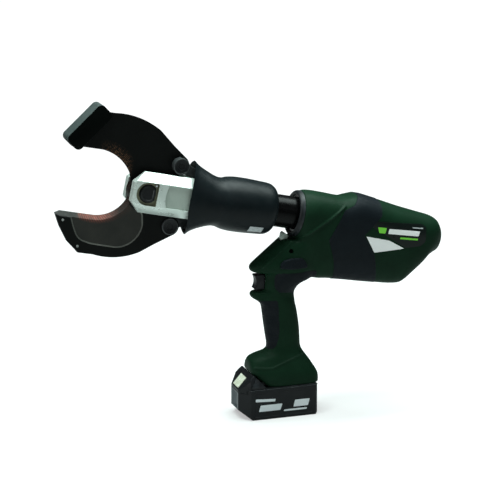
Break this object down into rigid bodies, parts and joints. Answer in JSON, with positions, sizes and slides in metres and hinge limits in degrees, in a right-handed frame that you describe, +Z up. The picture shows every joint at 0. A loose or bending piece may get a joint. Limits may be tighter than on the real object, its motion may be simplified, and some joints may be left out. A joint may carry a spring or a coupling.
{
  "type": "rescue cutter",
  "caption": "Battery-hydraulic rescue and cable cutter: two hook blades on a turning yoke, driven through links by a ram, on a pistol-grip power unit.",
  "frame": {"origin": "centre of the battery's flat underside", "axes": "+Z up, jaws towards -X, tool's left side towards -Y"},
  "size_m": [0.642, 0.0862, 0.5206],
  "materials": {
    "blade_steel": "blackened, ground near the edge",
    "bright_steel": "bright",
    "black_steel": "satin black",
    "yoke_alloy": "machined",
    "cast_alloy": "cast",
    "green_plastic": "fine texture",
    "black_plastic": "satin",
    "soft_rubber": "matt",
    "boot_rubber": "matt",
    "bronze": "machined",
    "lens": "clear, moulded",
    "copper_windings": "wound",
    "circuit": "solder mask",
    "cell_film": "film wrapped",
    "latch_plastic": "satin",
    "terminal_plastic": "satin"
  },
  "bodies": {
    "body": {"housing_left": "green_plastic", "housing_right": "green_plastic", "soft_band_left": "soft_rubber", "soft_band_right": "soft_rubber", "front_collar": "black_plastic", "retaining_ring": "bright_steel", "light_lens": "lens", "housing_screw_1": "bright_steel", "housing_screw_2": "bright_steel", "housing_screw_3": "bright_steel", "housing_screw_4": "bright_steel", "housing_screw_5": "bright_steel", "housing_screw_6": "bright_steel", "trigger_switch": "black_plastic", "release_valve": "bright_steel", "control_board": "circuit", "pump_body": "bright_steel", "gear_case": "cast_alloy", "motor_can": "bright_steel", "oil_bladder": "soft_rubber", "terminal_block": "terminal_plastic", "neck_seal": "soft_rubber", "trigger_spring": "bright_steel", "release_spring": "bright_steel", "plunger_spring": "bright_steel", "pump_plunger": "bright_steel"},
    "head": {"yoke_cylinder": "yoke_alloy", "pivot_bolt": "black_steel", "pivot_nut": "bright_steel", "pivot_lock_screw": "bright_steel", "rod_gland": "bronze", "neck_tube": "cast_alloy", "rubber_boot": "boot_rubber", "return_spring": "bright_steel"},
    "upper_jaw": {"upper_blade": "blade_steel", "blade_tip_guide": "black_plastic", "tip_guide_pin_1": "bright_steel", "tip_guide_pin_2": "bright_steel", "upper_link_pin": "black_steel"},
    "lower_jaw": {"lower_blade": "blade_steel", "lower_blade_rivet_1": "bright_steel", "lower_blade_rivet_2": "bright_steel", "lower_link_pin": "black_steel"},
    "upper_link_bar": {"upper_link": "blade_steel"},
    "lower_link_bar": {"lower_link": "blade_steel"},
    "ram": {"piston_rod": "bright_steel", "crosshead": "blade_steel", "piston_seal": "soft_rubber", "upper_crosshead_pin": "bright_steel", "lower_crosshead_pin": "bright_steel"},
    "trigger_key": {"trigger": "black_plastic"},
    "release_key": {"release_button": "soft_rubber"},
    "battery": {"battery_case": "black_plastic", "battery_top": "black_plastic", "cell_pack": "cell_film"},
    "battery_latch": {"battery_button": "latch_plastic"},
    "rotor": {"motor_rotor": "copper_windings"},
    "eccentric": {"eccentric_shaft": "bright_steel"}
  },
  "joints": [
    {"name": "head_rotation", "type": "hinge", "parent": "body", "child": "head", "pos_m": [-0.2176, 0, 0.38], "axis": [-0.9781, 0, 0.2079], "range_deg": [-175, 175]},
    {"name": "upper_blade_pivot", "type": "hinge", "parent": "head", "child": "upper_jaw", "pos_m": [-0.2176, 0, 0.38], "axis": [0, -1, 0], "range_deg": [0, 42]},
    {"name": "lower_blade_pivot", "type": "hinge", "parent": "head", "child": "lower_jaw", "pos_m": [-0.2176, 0, 0.38], "axis": [0, 1, 0], "range_deg": [0, 42.01]},
    {"name": "ram_slide", "type": "slide", "parent": "head", "child": "ram", "axis": [-0.9781, 0, 0.2079], "range_m": [0, 0.05545], "stiffness_N_per_m": 600, "springref_m": -0.03, "deforming": ["return_spring"]},
    {"name": "upper_link_pivot", "type": "hinge", "parent": "upper_jaw", "child": "upper_link_bar", "pos_m": [-0.16067, 0, 0.41697], "axis": [0, 1, 0], "range_deg": [0, 61.58]},
    {"name": "lower_link_pivot", "type": "hinge", "parent": "lower_jaw", "child": "lower_link_bar", "pos_m": [-0.18063, 0, 0.32307], "axis": [0, -1, 0], "range_deg": [0, 61.58]},
    {"name": "trigger_slide", "type": "slide", "parent": "body", "child": "trigger_key", "axis": [1, 0, 0], "range_m": [0, 0.007], "stiffness_N_per_m": 700, "springref_m": -0.004, "deforming": ["trigger_spring"]},
    {"name": "release_button_slide", "type": "slide", "parent": "body", "child": "release_key", "axis": [0, 1, 0], "range_m": [0, 0.003], "stiffness_N_per_m": 900, "springref_m": -0.003, "deforming": ["release_spring"]},
    {"name": "battery_slide", "type": "slide", "parent": "body", "child": "battery", "axis": [-1, 0, 0], "range_m": [0, 0.115]},
    {"name": "battery_button_press", "type": "slide", "parent": "battery", "child": "battery_latch", "axis": [0.7507, 0, -0.6607], "range_m": [0, 0.0025], "stiffness_N_per_m": 600, "springref_m": -0.002},
    {"name": "motor_spin", "type": "hinge", "parent": "body", "child": "rotor", "pos_m": [0.18833, 0, 0.29372], "axis": [-0.9781, 0, 0.2079], "continuous": true},
    {"name": "eccentric_spin", "type": "hinge", "parent": "body", "child": "eccentric", "pos_m": [0.11595, 0, 0.3091], "axis": [-0.9781, 0, 0.2079], "continuous": true}
  ],
  "couplings": [
    {"joint": "lower_blade_pivot", "follows": "upper_blade_pivot", "ratio": 1},
    {"joint": "ram_slide", "follows": "upper_blade_pivot", "m_per_rad": 0.075571},
    {"joint": "upper_link_pivot", "follows": "upper_blade_pivot", "ratio": 1.4651},
    {"joint": "lower_link_pivot", "follows": "upper_blade_pivot", "ratio": 1.4651},
    {"joint": "eccentric_spin", "follows": "motor_spin", "ratio": 0.2}
  ]
}
